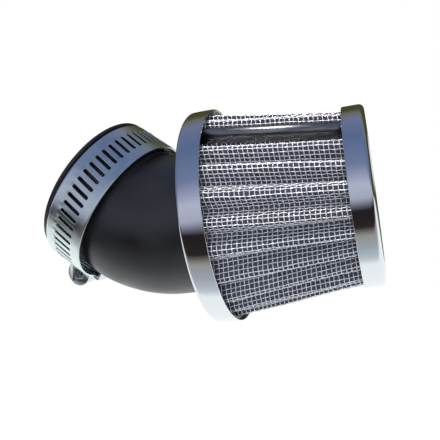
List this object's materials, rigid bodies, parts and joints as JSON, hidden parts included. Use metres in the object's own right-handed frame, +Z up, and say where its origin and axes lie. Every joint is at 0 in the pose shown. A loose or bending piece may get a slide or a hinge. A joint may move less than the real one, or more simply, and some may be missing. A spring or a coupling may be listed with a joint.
{
  "type": "air filter",
  "caption": "Small clamp-on pod air filter: pleated wire-cloth element between a chromed ring and cap, on a bent rubber neck with a worm-drive band clamp.",
  "frame": {"origin": "centre of the neck's mouth, on the axis of its bore", "axes": "+X along the canister's axis towards the end cap, +Z up; the bend lies in the XZ plane, and the neck rises towards -X"},
  "size_m": [0.111, 0.07, 0.0713],
  "materials": {
    "rubber": "satin moulded rubber",
    "chrome": "bright chrome plate",
    "plated_steel": "bright zinc-plated steel",
    "wire_cloth": "bright woven steel wire",
    "gauze": "dark filter gauze",
    "potting": "semi-gloss black potting compound",
    "dark_steel": "polished folded steel strip"
  },
  "bodies": {
    "filter": {"rubber_neck": "rubber", "base_ring": "chrome", "base_potting": "potting", "outer_screen": "wire_cloth", "outer_gauze": "gauze", "inner_gauze": "gauze", "inner_screen": "wire_cloth", "seam_clip": "dark_steel", "end_cap": "chrome", "cap_potting": "potting"},
    "clamp": {"clamp_housing": "plated_steel", "clamp_saddle": "plated_steel", "clamp_tongue": "plated_steel"},
    "strap": {"clamp_strap": "plated_steel"},
    "screw": {"clamp_screw": "plated_steel"}
  },
  "joints": [
    {"name": "clamp_turn", "type": "hinge", "parent": "filter", "child": "clamp", "pos_m": [0.00711, 0, -0.00662], "axis": [-0.766, 0, 0.6428], "continuous": true},
    {"name": "band_slide", "type": "hinge", "parent": "clamp", "child": "strap", "pos_m": [0.00711, 0, -0.00662], "axis": [0.766, 0, -0.6428], "range_deg": [-31.75, 19.05]},
    {"name": "screw_turn", "type": "hinge", "parent": "clamp", "child": "screw", "pos_m": [-0.01073, 0.00956, -0.02788], "axis": [-0.2093, -0.9455, -0.2494], "range_deg": [-1800, 1080]}
  ],
  "couplings": [
    {"joint": "band_slide", "follows": "screw_turn", "ratio": 0.017639}
  ]
}
